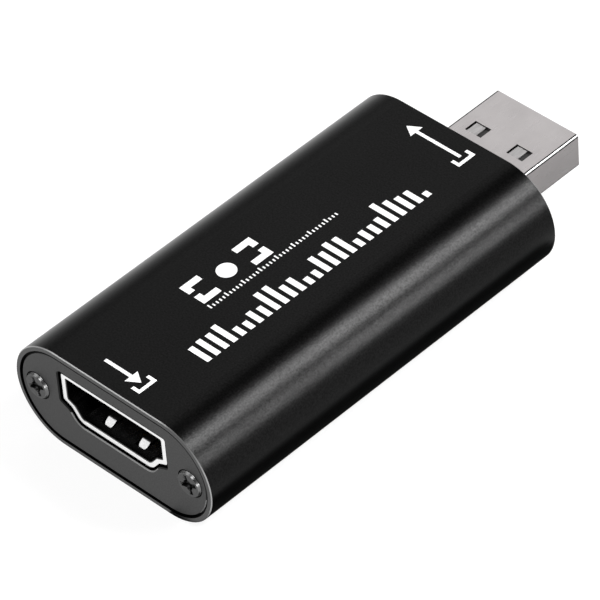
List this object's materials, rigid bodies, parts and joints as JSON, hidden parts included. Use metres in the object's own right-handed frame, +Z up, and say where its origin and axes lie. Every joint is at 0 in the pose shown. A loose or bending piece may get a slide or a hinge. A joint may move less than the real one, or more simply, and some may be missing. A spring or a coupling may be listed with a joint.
{
  "type": "video capture stick",
  "caption": "Flat black aluminium stick with rounded sides, an HDMI socket in its front plate and a USB-A plug at its rear.",
  "frame": {"origin": "middle of the flat bottom face of the housing", "axes": "+Y from the HDMI socket to the USB plug, +Z up through the flat top face, +X to the right when looking into the HDMI socket"},
  "size_m": [0.0288, 0.066, 0.0132],
  "materials": {
    "anodised_tube": "satin",
    "anodised_plate": "matte",
    "black_screw": "satin",
    "tinned_shell": "satin",
    "spring_sheet": "satin",
    "socket_plastic": "matte",
    "gold_contact": "satin",
    "plug_steel": "satin",
    "plug_plastic": "matte",
    "board_laminate": "satin",
    "chip_epoxy": "matte",
    "lead_tin": "satin",
    "heat_pad": "matte",
    "crystal_case": "satin",
    "ferrite": "matte",
    "tan_ceramic": "matte",
    "black_ceramic": "satin",
    "print_ink": "matte"
  },
  "bodies": {
    "stick": {"housing_tube": "anodised_tube", "front_plate": "anodised_plate", "rear_plate": "anodised_plate", "front_screws": "black_screw", "rear_screws": "black_screw", "circuit_board": "board_laminate", "hdmi_shell": "tinned_shell", "hdmi_insulator": "socket_plastic", "hdmi_upper_contacts": "gold_contact", "hdmi_lower_contacts": "gold_contact", "leg_solder": "lead_tin", "usb_shell": "plug_steel", "usb_insulator": "plug_plastic", "usb_contacts": "gold_contact", "capture_chip": "chip_epoxy", "capture_chip_leads": "lead_tin", "thermal_pad": "heat_pad", "memory_chip": "chip_epoxy", "memory_chip_leads": "lead_tin", "voltage_regulator": "chip_epoxy", "regulator_leads": "lead_tin", "crystal_base": "socket_plastic", "crystal_can": "crystal_case", "power_inductor": "ferrite", "bulk_capacitors": "tan_ceramic", "ceramic_capacitors": "tan_ceramic", "chip_resistors": "black_ceramic", "chip_end_caps": "lead_tin", "surge_arrays": "chip_epoxy"},
    "lower_left_finger": {"lower_left_finger": "spring_sheet"},
    "lower_right_finger": {"lower_right_finger": "spring_sheet"},
    "upper_left_finger": {"upper_left_finger": "spring_sheet"},
    "upper_right_finger": {"upper_right_finger": "spring_sheet"}
  },
  "joints": [
    {"name": "lower_left_finger_flex", "type": "hinge", "parent": "stick", "child": "lower_left_finger", "pos_m": [-0.0025, -0.01922, 0.00518], "axis": [1, 0, 0], "range_deg": [0, 4], "stiffness_Nm_per_rad": 0.08},
    {"name": "lower_right_finger_flex", "type": "hinge", "parent": "stick", "child": "lower_right_finger", "pos_m": [0.0025, -0.01922, 0.00518], "axis": [1, 0, 0], "range_deg": [0, 4], "stiffness_Nm_per_rad": 0.08},
    {"name": "upper_left_finger_flex", "type": "hinge", "parent": "stick", "child": "upper_left_finger", "pos_m": [-0.0025, -0.01922, 0.01002], "axis": [-1, 0, 0], "range_deg": [0, 4], "stiffness_Nm_per_rad": 0.08},
    {"name": "upper_right_finger_flex", "type": "hinge", "parent": "stick", "child": "upper_right_finger", "pos_m": [0.0025, -0.01922, 0.01002], "axis": [-1, 0, 0], "range_deg": [0, 4], "stiffness_Nm_per_rad": 0.08}
  ]
}
